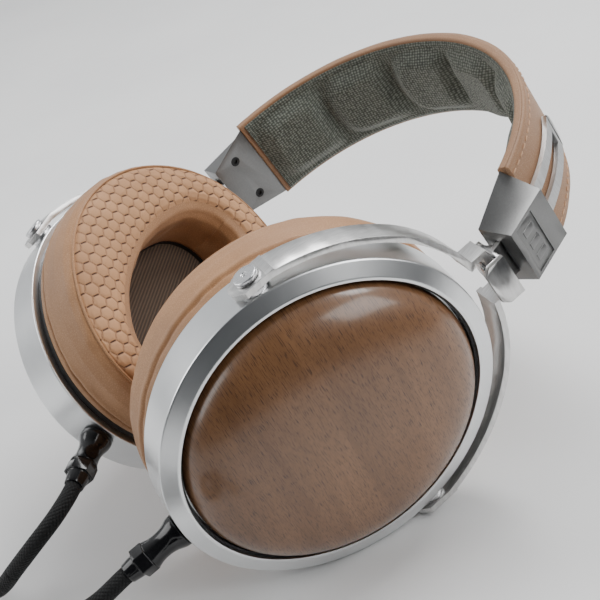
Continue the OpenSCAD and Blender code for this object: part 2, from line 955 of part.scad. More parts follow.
module badge() {
  base = block_y_out - badge_recess;
  translate([badge_drop - badge_half_x, base, -badge_half_z])
    cube([2 * badge_half_x, badge_thickness, 2 * badge_half_z]);
  for (k = [-1, 0, 1])
    translate([badge_drop - 2.2, base + badge_thickness - 0.1, 4.4 * k - 1.2])
      cube([4.4, 0.3, 2.4]);
}

// Headband: spring steel inside a leather cover, mesh cushion inside the arch
module spring_strip() {
  band_arc(-spring_end_angle, spring_end_angle)
    translate([band_radius - spring_inset - spring_thickness, -spring_half])
      square([spring_thickness, 2 * spring_half]);
}

module band_cover() {
  half = band_width / 2;
  inner = band_radius - cover_thickness;
  difference() {
    band_arc(-band_end_angle, band_end_angle)
      polygon([
        [inner, -half + 1],
        [inner + 1.2, -half],
        [band_radius - 1.2, -half],
        [band_radius, -half + 1.6],
        [band_radius, half - 1.6],
        [band_radius - 1.2, half],
        [inner + 1.2, half],
        [inner, half - 1]
      ]);
    spring_strip();
  }
}

module band_cushion() {
  half = band_width / 2 - 1.4;
  outer = band_radius - cover_thickness;
  band_arc(-cushion_end_angle, cushion_end_angle)
    polygon([
      [outer, -half],
      [outer, half],
      [outer - 0.4 * cushion_thickness, half],
      [outer - cushion_thickness, half - 3],
      [outer - cushion_thickness, 3 - half],
      [outer - 0.4 * cushion_thickness, -half]
    ]);
}

// Nodes
module headband_spring() {
  color(steel)
    multmatrix(left_side)
      spring_strip();
}

module headband_cover() {
  color(tan_leather)
    multmatrix(left_side)
      band_cover();
}

module headband_cushion() {
  color(mesh_grey)
    multmatrix(left_side)
      band_cushion();
}

module end_block_left() {
  color(silver)
    multmatrix(left_block)
      end_block();
}

module end_block_right() {
  color(silver)
    multmatrix(right_block)
      end_block();
}

module block_screws_left() {
  color(black)
    multmatrix(left_block)
      block_screws();
}

module block_screws_right() {
  color(black)
    multmatrix(right_block)
      block_screws();
}

module badge_left() {
  color(silver)
    multmatrix(left_block)
      badge();
}

module badge_right() {
  color(silver)
    multmatrix(right_block)
      badge();
}

module slider_detent_left() {
  color(steel)
    multmatrix(left_block)
      slider_detent();
}

module slider_detent_right() {
  color(steel)
    multmatrix(right_block)
      slider_detent();
}

module swivel_pin_left() {
  color(steel)
    multmatrix(left_hanger)
      swivel_pin();
}

module swivel_pin_right() {
  color(steel)
    multmatrix(right_hanger)
      swivel_pin();
}

module yoke_left() {
  color(steel)
    multmatrix(left_yoke)
      yoke();
}

module yoke_right() {
  color(steel)
    multmatrix(right_yoke)
      yoke();
}

module pivot_screws_left() {
  color(steel)
    multmatrix(left_cup)
      pivot_screws();
}

module pivot_screws_right() {
  color(steel)
    multmatrix(right_cup)
      pivot_screws();
}

module pivot_washers_left() {
  color(steel)
    multmatrix(left_cup)
      pivot_washers();
}

module pivot_washers_right() {
  color(steel)
    multmatrix(right_cup)
      pivot_washers();
}

module cup_ring_left() {
  color(silver)
    multmatrix(left_cup)
      cup_ring();
}

module cup_ring_right() {
  color(silver)
    multmatrix(right_cup)
      cup_ring();
}

module wood_cup_left() {
  color(wood)
    multmatrix(left_cup)
      wood_cup();
}

module wood_cup_right() {
  color(wood)
    multmatrix(right_cup)
      wood_cup();
}

module wood_gasket_left() {
  color(black)
    multmatrix(left_cup)
      wood_gasket();
}

module wood_gasket_right() {
  color(black)
    multmatrix(right_cup)
      wood_gasket();
}

module baffle_left() {
  color(black)
    multmatrix(left_cup)
      baffle();
}

module baffle_right() {
  color(black)
    multmatrix(right_cup)
      baffle();
}

module driver_basket_left() {
  color(black)
    multmatrix(left_cup)
      driver_basket();
}

module driver_basket_right() {
  color(black)
    multmatrix(right_cup)
      driver_basket();
}

module driver_magnet_left() {
  color(steel)
    multmatrix(left_cup)
      driver_magnet();
}

module driver_magnet_right() {
  color(steel)
    multmatrix(right_cup)
      driver_magnet();
}

module driver_diaphragm_left() {
  color(mesh_grey)
    multmatrix(left_cup)
      driver_diaphragm();
}

module driver_diaphragm_right() {
  color(mesh_grey)
    multmatrix(right_cup)
      driver_diaphragm();
}

module pad_ring_left() {
  color(black)
    multmatrix(left_cup)
      pad_ring();
}

module pad_ring_right() {
  color(black)
    multmatrix(right_cup)
      pad_ring();
}

module dust_cloth_left() {
  color(brown_cloth)
    multmatrix(left_cup)
      dust_cloth();
}

module dust_cloth_right() {
  color(brown_cloth)
    multmatrix(right_cup)
      dust_cloth();
}

module ear_pad_left() {
  color(tan_leather)
    multmatrix(left_cup)
      ear_pad();
}

module ear_pad_right() {
  color(tan_leather)
    multmatrix(right_cup)
      ear_pad();
}

module jack_socket_left() {
  color(black)
    multmatrix(left_cup)
      jack_socket();
}

module jack_socket_right() {
  color(black)
    multmatrix(right_cup)
      jack_socket();
}

module connector_left() {
  color(black)
    multmatrix(left_cup)
      connector();
}

module connector_right() {
  color(black)
    multmatrix(right_cup)
      connector();
}

module connector_collar_left() {
  color(black)
    multmatrix(left_cup)
      connector_collar();
}

module connector_collar_right() {
  color(black)
    multmatrix(right_cup)
      connector_collar();
}

module connector_pin_left() {
  color(steel)
    multmatrix(left_cup)
      connector_pin();
}

module connector_pin_right() {
  color(steel)
    multmatrix(right_cup)
      connector_pin();
}

module slider_left() {
  color(silver)
    union() {
      multmatrix(left_side)
        slider_strip();
      multmatrix(left_hanger)
        bracket();
    }
}

module slider_right() {
  color(silver)
    union() {
      multmatrix(right_side)
        slider_strip();
      multmatrix(right_hanger)
        bracket();
    }
}

headband_spring();
headband_cover();
headband_cushion();
end_block_left();
end_block_right();
block_screws_left();
block_screws_right();
badge_left();
badge_right();
slider_detent_left();
slider_detent_right();
slider_left();
slider_right();
swivel_pin_left();
swivel_pin_right();
yoke_left();
yoke_right();
pivot_screws_left();
pivot_screws_right();
pivot_washers_left();
pivot_washers_right();
cup_ring_left();
cup_ring_right();
wood_cup_left();
wood_cup_right();
wood_gasket_left();
wood_gasket_right();
baffle_left();
baffle_right();
driver_basket_left();
driver_basket_right();
driver_magnet_left();
driver_magnet_right();
driver_diaphragm_left();
driver_diaphragm_right();
pad_ring_left();
pad_ring_right();
dust_cloth_left();
dust_cloth_right();
ear_pad_left();
ear_pad_right();
jack_socket_left();
jack_socket_right();
connector_left();
connector_right();
connector_collar_left();
connector_collar_right();
connector_pin_left();
connector_pin_right();
lead_left();
lead_right();
lead_splitter();
lead_trunk();
lead_coil();
coil_tie();
lead_tail();
plug_body();
plug_pin();
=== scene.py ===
import json
import bmesh
import bpy
import numpy as np
from mathutils import Matrix, Vector


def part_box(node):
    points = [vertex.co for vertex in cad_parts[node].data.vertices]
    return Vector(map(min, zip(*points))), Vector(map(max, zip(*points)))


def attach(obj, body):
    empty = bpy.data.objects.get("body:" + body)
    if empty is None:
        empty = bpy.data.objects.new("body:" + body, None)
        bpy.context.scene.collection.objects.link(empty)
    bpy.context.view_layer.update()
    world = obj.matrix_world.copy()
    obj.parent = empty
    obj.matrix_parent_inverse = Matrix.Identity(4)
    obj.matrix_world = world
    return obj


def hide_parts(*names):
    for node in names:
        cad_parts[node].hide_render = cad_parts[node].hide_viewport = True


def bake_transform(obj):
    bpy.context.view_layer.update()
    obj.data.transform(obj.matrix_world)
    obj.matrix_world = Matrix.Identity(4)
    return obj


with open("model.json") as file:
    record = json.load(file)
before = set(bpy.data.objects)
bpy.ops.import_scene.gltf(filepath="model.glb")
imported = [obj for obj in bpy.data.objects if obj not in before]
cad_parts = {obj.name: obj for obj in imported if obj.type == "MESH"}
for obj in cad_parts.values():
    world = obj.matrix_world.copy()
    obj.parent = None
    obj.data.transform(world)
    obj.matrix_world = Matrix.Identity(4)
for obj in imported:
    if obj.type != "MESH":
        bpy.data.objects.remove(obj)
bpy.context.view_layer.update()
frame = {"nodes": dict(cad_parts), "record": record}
record = frame["record"]
joints = {j["name"]: j for j in record["behaviour"]["joints"]}
mounts = {m["name"]: m for m in record["mounts"]}
body_of = {n: b for b, members in record["behaviour"]["bodies"].items() for n in members}


# Camera: it looks down on the left cup from about 0.4 m, a little from the front, through a portrait lens,
# with its horizon rolled about 18 degrees.
def unit(v):
    """v divided by its length."""
    v = np.asarray(v, float)
    return v / np.linalg.norm(v, axis=-1, keepdims=True)


eye = np.array([0.2963, -0.1802, 0.2325])
aim = np.array([-0.0067, -0.0010, 0.0425])
roll = np.radians(17.9)
look = unit(aim - eye)
level = unit(np.cross(look, [0, 0, 1]))
upright = np.cross(level, look)
right = np.cos(roll) * level - np.sin(roll) * upright
up = np.sin(roll) * level + np.cos(roll) * upright
camera = bpy.data.objects.new("camera", bpy.data.cameras.new("camera"))
bpy.context.scene.collection.objects.link(camera)
camera.matrix_world = Matrix([[right[i], up[i], -look[i], eye[i]] for i in range(3)] + [[0, 0, 0, 1]])
camera.data.sensor_width = 36
camera.data.lens = 73.8
camera.data.clip_start = 0.01
bpy.context.scene.camera = camera


# Table and light: a sheet of matt white paper, greyed off with painted shade towards the dark room in front
# of it, a pale backdrop behind it and three softboxes. One class writes every finish's nodes as arithmetic.
class Value:
    """A socket in a material's node tree; arithmetic on it adds Math nodes."""

    def __init__(self, tree, socket):
        self.tree = tree
        self.socket = socket

    def node(self, kind, out=0, settings=None, **inputs):
        """Another node of that type, with settings as attributes and inputs by socket name or number."""
        made = self.tree.nodes.new(kind)
        for key, value in (settings or {}).items():
            setattr(made, key, value)
        for key, value in inputs.items():
            name = int(key[1:]) if key[0] == "_" else key.replace("_", " ")
            self.feed(made.inputs[name], value)
        return Value(self.tree, made.outputs[out])

    def feed(self, socket, value):
        """Links a Value, or sets a constant."""
        if isinstance(value, Value):
            self.tree.links.new(value.socket, socket)
        else:
            socket.default_value = value

    def math(self, operation, *others, clamp=False):
        """A Math node with that operation and those values as its inputs."""
        settings = {"operation": operation, "use_clamp": clamp}
        return self.node("ShaderNodeMath", settings=settings, **{f"_{i}": v for i, v in enumerate(others)})

    def __add__(self, other):
        return self.math("ADD", self, other)

    def __sub__(self, other):
        return self.math("SUBTRACT", self, other)

    def __rsub__(self, other):
        return self.math("SUBTRACT", other, self)

    def __mul__(self, other):
        return self.math("MULTIPLY", self, other)

    def __truediv__(self, other):
        return self.math("DIVIDE", self, other)

    __radd__ = __add__
    __rmul__ = __mul__

    def span(self, low, high):
        """0 below low, 1 above high, straight between."""
        return self.math("DIVIDE", self - low, high - low, clamp=True)

    def noise(self, scale, detail=2.0, roughness=0.5):
        """Noise between 0 and 1 with that many features to a metre."""
        sockets = {"Vector": self, "Scale": scale, "Detail": detail, "Roughness": roughness}
        return self.node("ShaderNodeTexNoise", settings={"noise_dimensions": "3D"}, **sockets)

    def cells(self, scale, feature="F1", randomness=1.0):
        """Distance to the nearest of scattered points, or to the edge between their cells."""
        sockets = {"Vector": self, "Scale": scale, "Randomness": randomness}
        return self.node("ShaderNodeTexVoronoi", settings={"feature": feature}, **sockets)

    def sine(self):
        return self.math("SINE", self)

    def size(self):
        """The value without its sign."""
        return self.math("ABSOLUTE", self)

    def wrapped(self):
        """The part after the decimal point."""
        return self.math("FRACT", self)

    def stretched(self, x, y, z, turn=0.0):
        """Coordinates turned about Z, then scaled by x, y and z."""
        rotate = {"rotation_type": "Z_AXIS"}
        turned = self.node("ShaderNodeVectorRotate", settings=rotate, Vector=self, Angle=turn)
        scale = {"operation": "MULTIPLY"}
        return turned.node("ShaderNodeVectorMath", settings=scale, _0=turned, _1=(x, y, z))

    def parts(self):
        """The three numbers of a vector."""
        split = self.tree.nodes.new("ShaderNodeSeparateXYZ")
        self.tree.links.new(self.socket, split.inputs[0])
        return [Value(self.tree, s) for s in split.outputs]

    def colours(self, a, b):
        """Colour a where the value is 0 and b where it is 1."""
        mixed = self.tree.nodes.new("ShaderNodeMix")
        mixed.data_type = "RGBA"
        self.feed(mixed.inputs[0], self)
        for socket, colour in ((mixed.inputs[6], a), (mixed.inputs[7], b)):
            self.feed(socket, colour if isinstance(colour, Value) else (*colour, 1))
        return Value(self.tree, mixed.outputs[2])

    def bump(self, distance, strength=1.0):
        """A normal from this height, distance in metres."""
        return self.node("ShaderNodeBump", Height=self, Distance=distance, Strength=strength)


def finish(name, **constants):
    """A Principled material. Returns it, its Object coordinates, its UV and a way to link its inputs."""
    made = bpy.data.materials.new(name)
    made.use_nodes = True
    tree = made.node_tree
    shader = tree.nodes["Principled BSDF"]
    coordinates = tree.nodes.new("ShaderNodeTexCoord")
    for key, value in constants.items():
        value = (*value, 1) if isinstance(value, tuple) else value
        shader.inputs[key.replace("_", " ")].default_value = value

    def paint(**inputs):
        for key, value in inputs.items():
            tree.links.new(value.socket, shader.inputs[key.replace("_", " ")])

    return made, Value(tree, coordinates.outputs["Object"]), Value(tree, coordinates.outputs["UV"]), paint


table_finish, place, _, paint = finish("table paper", Base_Color=(0.82, 0.82, 0.82), Roughness=0.6)
towards_room, _, _ = place.parts()
white, grey = 0.30, 0.62
paper_tone = place.noise(9, 3).span(0.35, 0.65).colours((0.80, 0.80, 0.80), (0.84, 0.84, 0.835))
# Painted shade: the paper darkens to near black from 0.30 m to 0.62 m along X, towards the dark room.
paint(Base_Color=towards_room.span(white, grey).colours(paper_tone, (0.10, 0.10, 0.10)))
paint(Normal=place.noise(900, 2).bump(0.00002, 0.3))
table = bpy.data.objects.new("table", bpy.data.meshes.new("table"))
table.data.from_pydata([(-4, -3, 0), (3, -3, 0), (3, 4, 0), (-4, 4, 0)], [], [(0, 1, 2, 3)])
table.data.materials.append(table_finish)
bpy.context.scene.collection.objects.link(table)
world = bpy.data.worlds.new("room")
bpy.context.scene.world = world
world.use_nodes = True
backdrop = world.node_tree.nodes["Background"]
backdrop.inputs["Strength"].default_value = 0.8
sky = Value(world.node_tree, world.node_tree.nodes.new("ShaderNodeTexCoord").outputs["Generated"])
ahead = sky.node("ShaderNodeVectorMath", 1, {"operation": "DOT_PRODUCT"}, _0=sky, _1=tuple(look * (1, 1, 0)))
room_tone = ahead.span(-0.35, 0.45).colours((0.07, 0.075, 0.08), (0.98, 1.0, 1.02))
world.node_tree.links.new(room_tone.socket, backdrop.inputs["Color"])


def softbox(name, where, towards, width, height, power):
    """A rectangular lamp at where, turned towards a point."""
    lamp = bpy.data.objects.new(name, bpy.data.lights.new(name, "AREA"))
    lamp.data.shape = "RECTANGLE"
    lamp.data.size = width
    lamp.data.size_y = height
    lamp.data.energy = power
    lamp.location = where
    lamp.rotation_euler = (Vector(towards) - Vector(where)).to_track_quat("-Z", "Y").to_euler()
    bpy.context.scene.collection.objects.link(lamp)
    return lamp


key = softbox("ceiling light", (-0.15, 0.55, 0.95), (0, 0, 0.03), 0.9, 0.30, 11.5)
fill = softbox("window light", (0.75, 0.35, 0.70), (0.05, 0, 0.04), 0.7, 0.5, 6.5)
low = softbox("room light", (-0.55, -0.75, 0.60), (0, 0, 0.04), 0.8, 0.6, 5.6)


# Frames of the assembly: the band's arc has its own, and each cup has one on its ring's crest. Both come from
# the record's joints and mounts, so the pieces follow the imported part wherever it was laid.
class Place:
    """A piece's own frame; calling it puts points in millimetres into the row frame."""

    def __init__(self, origin, x, y, z):
        self.origin = np.asarray(origin, float)
        self.axes = np.array([unit(x), unit(y), unit(z)])

    def __call__(self, points):
        return self.origin + 0.001 * np.asarray(points, float) @ self.axes


slide = joints["left_slider_travel"]
band_up = -np.array(mounts["head_rest"]["axis"])
band_front = np.array(slide["axis"])
band = Place(slide["pos_m"], np.cross(band_up, band_front), band_up, band_front)
row = Place((0, 0, 0), (1, 0, 0), (0, 1, 0), (0, 0, 1))


def cup_place(side):
    """The cup's frame on its ring's crest: X to the crown, Y to the front, Z outward."""
    tilt = joints[side + "_cup_tilt"]
    outward = -np.array(mounts["ear_" + side]["axis"])
    front = np.array(tilt["axis"])
    crown = np.cross(front, outward) * (1 if side == "left" else -1)
    pivot = Place(tilt["pos_m"], crown, front, outward)
    return Place(pivot((-7.4, 0, 4.6)), crown, front, outward)


cups = {side: cup_place(side) for side in ("left", "right")}


# Metals and plastics: the rings and the splitter are turned aluminium, blasted satin. The end blocks are
# cast, yokes and sliders brushed strip, the screws turned steel or black oxide, the rest moulded plastic.
satin, place, run, paint = finish("satin aluminium", Metallic=1.0, Base_Color=(0.74, 0.75, 0.755))
cloud = place.noise(60, 3)
paint(Base_Color=cloud.span(0.3, 0.7).colours((0.70, 0.71, 0.715), (0.77, 0.78, 0.785)))
paint(Roughness=0.25 + cloud * 0.08)
paint(Normal=place.noise(5200, 2).bump(0.00001, 0.25))

cast, place, run, paint = finish("satin cast metal", Metallic=1.0, Base_Color=(0.2, 0.2, 0.2), Roughness=0.42)
grain = place.noise(1800, 3)
paint(Roughness=0.34 + grain * 0.12, Base_Color=grain.colours((0.17, 0.17, 0.17), (0.225, 0.225, 0.22)))
paint(Normal=place.noise(4200, 2).bump(0.00001, 0.3))

brushed, place, run, paint = finish("brushed metal", Metallic=1.0, Base_Color=(0.63, 0.62, 0.61))
lines = place.stretched(3500, 260, 260).noise(1, 2)
paint(Base_Color=lines.span(0.3, 0.7).colours((0.56, 0.55, 0.54), (0.70, 0.695, 0.685)))
paint(Roughness=0.24 + lines * 0.16, Normal=lines.bump(0.00002, 0.25))

steel, place, run, paint = finish("turned steel", Metallic=1.0, Base_Color=(0.68, 0.68, 0.69), Roughness=0.25)
paint(Roughness=0.22 + place.noise(900, 2) * 0.12)

oxide, place, run, paint = finish("black oxide", Metallic=0.6, Base_Color=(0.02, 0.02, 0.02), Roughness=0.4)
paint(Roughness=0.32 + place.noise(1500, 2) * 0.2)

matt_black, place, run, paint = finish("matt black plastic", Base_Color=(0.012, 0.012, 0.012), Roughness=0.5)
paint(Roughness=0.4 + place.noise(1200, 2) * 0.2, Normal=place.noise(3000, 2).bump(0.00002, 0.3))

gloss_black, place, run, paint = finish("gloss black plastic", Base_Color=(0.006, 0.006, 0.007))
paint(Roughness=0.08 + place.noise(300, 3) * 0.12)


# Tan leather: a soft sheep-grain skin with pale and dark drifts and a pebbled surface, sewn with a paler
# thread. The pads' skin is lighter than the band's.
def leather(name, light, dark):
    """Drifts between two browns, darker in the pits between the pebbles of its grain."""
    made, place, run, paint = finish(name, Roughness=0.55, Base_Color=light, Sheen_Weight=0.06)
    drift = place.noise(45, 4)
    pebble = place.cells(1500.0, "DISTANCE_TO_EDGE").span(0.0, 0.35)
    fine = place.noise(2600, 3)
    shade = drift.span(0.35, 0.68).colours(dark, light)
    pit = (dark[0] * 0.86, dark[1] * 0.82, dark[2] * 0.8)
    paint(Base_Color=(pebble * 0.35 + fine * 0.3).span(0.0, 0.5).colours(pit, shade))
    paint(Roughness=0.42 + drift * 0.14 + (1 - pebble) * 0.14)
    paint(Normal=(pebble * 0.7 + fine * 0.5).bump(0.00006, 0.5))
    return made


pad_leather = leather("pad leather", (0.49, 0.262, 0.122), (0.37, 0.190, 0.086))
band_leather = leather("band leather", (0.37, 0.205, 0.105), (0.28, 0.150, 0.076))

thread, place, run, paint = finish("tan thread", Base_Color=(0.50, 0.30, 0.18), Roughness=0.75)
paint(Normal=place.noise(5000, 2).bump(0.00004, 0.5))


# Wooden cups: turned beech, stained brown and glossed, each a shell seated in the ring on a black gasket.
# The short dark flecks of its grain run across the dome, from the front of the cup to its rear.
def stained_wood():
    """Noise drawn out along the grain: broad tones, narrow bands and two sizes of short dark fleck."""
    gloss = {"Coat_Weight": 0.55, "Coat_Roughness": 0.16}
    made, place, run, paint = finish("stained beech", Roughness=0.2, Base_Color=(0.18, 0.08, 0.035), **gloss)
    grain_turn = 1.69
    along = run.stretched(1, 1, 1, grain_turn)
    broad = along.stretched(14, 70, 1).noise(1, 4, 0.55)
    bands = along.stretched(28, 420, 1).noise(1, 3, 0.6)
    fleck = along.stretched(330, 3900, 1).noise(1, 2, 0.5)
    small = along.stretched(700, 5600, 1).noise(1, 1, 0.5)
    tone = (broad * 0.65 + bands * 0.35).span(0.36, 0.62)
    base = tone.colours((0.145, 0.064, 0.024), (0.225, 0.108, 0.046))
    dark = fleck.span(0.56, 0.64) * 0.7 + small.span(0.57, 0.65) * 0.4
    paint(Base_Color=dark.colours(base, (0.040, 0.016, 0.008)))
    paint(Roughness=0.34 + broad * 0.08 + dark * 0.10)
    paint(Normal=(dark * -1.0 + bands * 0.3).bump(0.00002, 0.15))
    return made


def outward(mesh):
    """Turns the faces of a closed mesh to face outward."""
    work = bmesh.new()
    work.from_mesh(mesh)
    bmesh.ops.recalc_face_normals(work, faces=work.faces)
    work.to_mesh(mesh)
    work.free()


def surface(name, place, points, around=True, along=True, uv=None, finishes=(), which=None):
    """A mesh from a grid of points in the piece's frame. around and along say which way it closes; an open
    way gets a flat cap at each end. UV is the run of length both ways, in metres, unless it is given."""
    points = np.asarray(points, float)
    nu, nv = points.shape[:2]
    iu = np.arange(nu if around else nu - 1)
    iv = np.arange(nv if along else nv - 1)
    gu, gv = np.meshgrid(iu, iv, indexing="ij")
    corner = [(gu, gv), (gu + 1, gv), (gu + 1, gv + 1), (gu, gv + 1)]
    index = np.stack([(a % nu) * nv + b % nv for a, b in corner], -1).reshape(-1, 4)
    if uv is None:
        wide = np.concatenate([points, points[:1]]) if around else points
        tall = np.concatenate([points, points[:, :1]], 1) if along else points
        run_u = np.r_[0, np.cumsum(np.linalg.norm(np.diff(wide, axis=0), axis=2).mean(1))]
        run_v = np.r_[0, np.cumsum(np.linalg.norm(np.diff(tall, axis=1), axis=2).mean(0))]
        uv = np.stack(np.meshgrid(run_u, run_v, indexing="ij"), -1)
    loops = np.stack([uv[a % uv.shape[0], b % uv.shape[1]] for a, b in corner], -2).reshape(-1, 4, 2)
    caps = []
    if not along:
        first, last = np.arange(nu) * nv, np.arange(nu) * nv + nv - 1
        caps = [list(map(int, first[::-1])), list(map(int, last))]
    if not around:
        first, last = np.arange(nv), (nu - 1) * nv + np.arange(nv)
        caps = [list(map(int, first)), list(map(int, last[::-1]))]
    name = name.replace(" ", "_")
    mesh = bpy.data.meshes.new(name)
    mesh.from_pydata(place(points.reshape(-1, 3)).tolist(), [], index.tolist() + caps)
    layer = mesh.uv_layers.new(name="UVMap")
    flat = np.zeros((len(mesh.loops), 2), np.float32)
    flat[: loops.size // 2] = 0.001 * loops.reshape(-1, 2)
    layer.data.foreach_set("uv", flat.ravel())
    for f in finishes:
        mesh.materials.append(f)
    if which is not None:
        number = np.zeros(len(mesh.polygons), np.int32)
        number[: len(index)] = np.asarray(which)[gu, gv].ravel()
        mesh.polygons.foreach_set("material_index", number)
    mesh.polygons.foreach_set("use_smooth", np.ones(len(mesh.polygons), bool))
    outward(mesh)
    made = bpy.data.objects.new(name, mesh)
    bpy.context.scene.collection.objects.link(made)
    return made


def stands_for(made, node):
    """made rides with the CAD piece's body and is shown in its place."""
    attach(made, body_of[node])
    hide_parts(node)
    return made


beech = stained_wood()
across, high, wall, sunk = (43.65, 38.65), 17.0, 4.0, 3.0
roundness = 2.6
for side, cup in cups.items():
    # A superellipse turned round the cup's axis, outside then inside
    turn = np.linspace(0, 2 * np.pi, 192, endpoint=False)
    rise = np.radians(np.r_[0.004, 0.1, 0.5, np.linspace(1.5, 90, 64)])
    shells = []
    for inset, order in ((0.0, 1), (wall, -1)):
        spread, height = np.sin(rise) ** (2 / roundness), np.abs(np.cos(rise)) ** (2 / roundness)
        shells.append(np.stack([
            np.outer(np.cos(turn), spread * (across[0] - inset)),
            np.outer(np.sin(turn), spread * (across[1] - inset)),
            np.broadcast_to(height * (high - inset) - sunk, (len(turn), len(rise))),
        ], -1)[:, ::order])
    points = np.concatenate(shells, 1)
    flat = np.concatenate([points, points[:1]])[..., :2]
    other_part_of_the_plank = 37 if side == "right" else 0
    flat = flat + other_part_of_the_plank
    dome = surface(f"wooden shell {side}", cup, points, along=False, uv=flat, finishes=[beech])
    stands_for(dome, "wood_cup_" + side)


# Cup rings: one turned aluminium ring a side, the cup's frame. Its wall rises to a crest, falls in a bevel to
# a bright lip round the wood, and holds a shelf inside for the gasket and the baffle.
def rounded(profile, radius, steps=4):
    """The profile with a short curve for each corner, and a point beside it that keeps the flats flat:
    on the curve (1 - t)^2 a + 2 t (1 - t) p + t^2 b, for corner p cut at a and b."""
    profile = np.asarray(profile, float)
    made = []
    for i, p in enumerate(profile):
        before, after = profile[i - 1] - p, profile[(i + 1) % len(profile)] - p
        cut = min(radius, 0.3 * np.linalg.norm(before), 0.3 * np.linalg.norm(after))
        a, b = p + cut * unit(before), p + cut * unit(after)
        made.append(p + 1.5 * cut * unit(before))
        for t in np.linspace(0, 1, steps + 1):
            made.append((1 - t) ** 2 * a + 2 * t * (1 - t) * p + t * t * b)
        made.append(p + 1.5 * cut * unit(after))
    return np.array(made)


def oval(angles, a, b, r):
    """Points and normals of an oval of four arcs at those normal angles. The end arcs have radius r; the
    side arcs' radius ((a - r)^2 + b^2 - r^2) / (2 (b - r)) makes them meet smoothly."""
    side = ((a - r) ** 2 + b * b - r * r) / (2 * (b - r))
    turn = np.arctan2(side - b, a - r)
    n = np.stack([np.cos(angles), np.sin(angles)], -1)
    end = np.abs(np.sin(angles)) < np.sin(turn)
    centre = np.where(
        end[:, None],
        np.stack([np.sign(n[:, 0]) * (a - r), 0 * angles], -1),
        np.stack([0 * angles, -np.sign(n[:, 1]) * (side - b)], -1),
    )
    return centre + np.where(end, r, side)[:, None] * n, n


def swept(name, place, profile, finishes, count, sizes):
    """A closed section (offset, height) carried round the cup's oval."""
    angles = np.linspace(0, 2 * np.pi, count, endpoint=False)
    base, normal = oval(angles, *sizes)
    profile = np.asarray(profile, float)
    flat = base[:, None] + profile[None, :, :1] * normal[:, None]
    points = np.concatenate([flat, np.broadcast_to(profile[None, :, 1:], (*flat.shape[:2], 1))], -1)
    return surface(name, place, points, finishes=finishes)


def coat(node, paint_with):
    """A CAD piece as it is, in a better finish."""
    mesh = frame["nodes"][node].data
    mesh.materials.clear()
    mesh.materials.append(paint_with)


foot, crest, lip = [(0.75, -13.4), (0, 0)], (-4.4, 2.2), (-5.3, 2.2)
shelf = [(-5.3, -3), (-9.5, -3), (-9.5, -5.5), (-3, -5.5), (-3, -13.4)]
for side, cup in cups.items():
    section = [*foot, crest, lip, *shelf]
    ring = swept(f"ring {side}", cup, rounded(section, 0.42, 5)[::-1], [satin], 384, (50, 45, 40))
    stands_for(ring, "cup_ring_" + side)
    coat("wood_gasket_" + side, matt_black)


# Ear pads: foam under tan leather, with a quilted and pierced fabric face sewn to the leather at a thin welt
# and a sewn crease near the ring. They stretch over the edge of the black pad ring.
def quilted_fabric():
    """Hexagons 4.2 mm across, outlined by pin holes, with a longer slit on one slanting side of each. Painted
    shade darkens the valleys round the hexagons and the pin holes.
    """
    made, place, run, paint = finish("quilted pad face", Roughness=0.7, Base_Color=(0.53, 0.33, 0.22))
    x, y, _ = run.parts()
    hexagon = 0.0042
    x, y = x / hexagon, y / hexagon
    tall = 0.8660254
    nearest, slit = None, None
    for shift in (0.0, 0.5):
        across = (x - shift + 0.5).wrapped() - 0.5
        upward = (y / (2 * tall) - shift + 0.5).wrapped() * (2 * tall) - tall
        size_x, size_y = across.size(), upward.size()
        edge = size_x.math("MAXIMUM", size_x, size_x * 0.5 + size_y * tall)
        slant = across * 0.5 + upward * tall
        beside = upward * 0.5 - across * tall
        mark = (1 - (slant.size() - 0.5).size().span(0.03, 0.08)) * (1 - beside.size().span(0.20, 0.25))
        nearest = edge if nearest is None else edge.math("MINIMUM", edge, nearest)
        slit = mark if slit is None else mark.math("MAXIMUM", mark, slit)
    valley = 1 - (0.5 - nearest).span(0.0, 0.13)
    beads = (x * 44.0).sine() * (y * 44.0).sine()
    holes = (1 - (0.5 - nearest).span(0.01, 0.08)) * beads.span(0.0, 0.2)
    knit = run.cells(2600.0)
    drift = run.noise(40, 3)
    base = drift.span(0.35, 0.65).colours((0.43, 0.225, 0.108), (0.53, 0.285, 0.140))
    # Painted shade: the valleys between the hexagon pillows and the pin holes are darkened towards deep
    # brown.
    shade = (valley * 0.3 + holes * 0.7).colours(base, (0.20, 0.095, 0.048))
    paint(Base_Color=slit.colours(shade, (0.085, 0.036, 0.018)))
    height = knit * -0.25 - slit * 1.6 - holes * 1.2 - valley * 0.5
    paint(Roughness=0.66 + knit * 0.12, Normal=height.bump(0.0002, 0.6))
    return made


pad_fabric = quilted_fabric()
pad_size, opening_size = (50, 45, 40), (33.5, 19.5, 14.5)
foot_height, pad_depth = -15.4, 19.3
seam_height = foot_height - pad_depth
crease_at, tall_skin = 0.2, 21
hexagon, tall = 4.2, 0.8660254


def waves(u, v, seed, scale, count=18):
    """Smooth noise: a sum of sines with seeded directions and phases, wavelengths around scale."""
    rng = np.random.default_rng(seed)
    total = 0
    for _ in range(count):
        angle = rng.uniform(0, 2 * np.pi)
        size = scale * rng.uniform(0.6, 1.7)
        phase = rng.uniform(0, 2 * np.pi)
        total = total + np.sin(2 * np.pi * (u * np.cos(angle) + v * np.sin(angle)) / size + phase)
    return total / np.sqrt(count / 2) / 1.7


def raised(flat_points, heights):
    """Flat points (x, y) with their heights, as (x, y, z)."""
    return np.concatenate([flat_points, np.broadcast_to(heights, flat_points.shape[:2])[..., None]], -1)


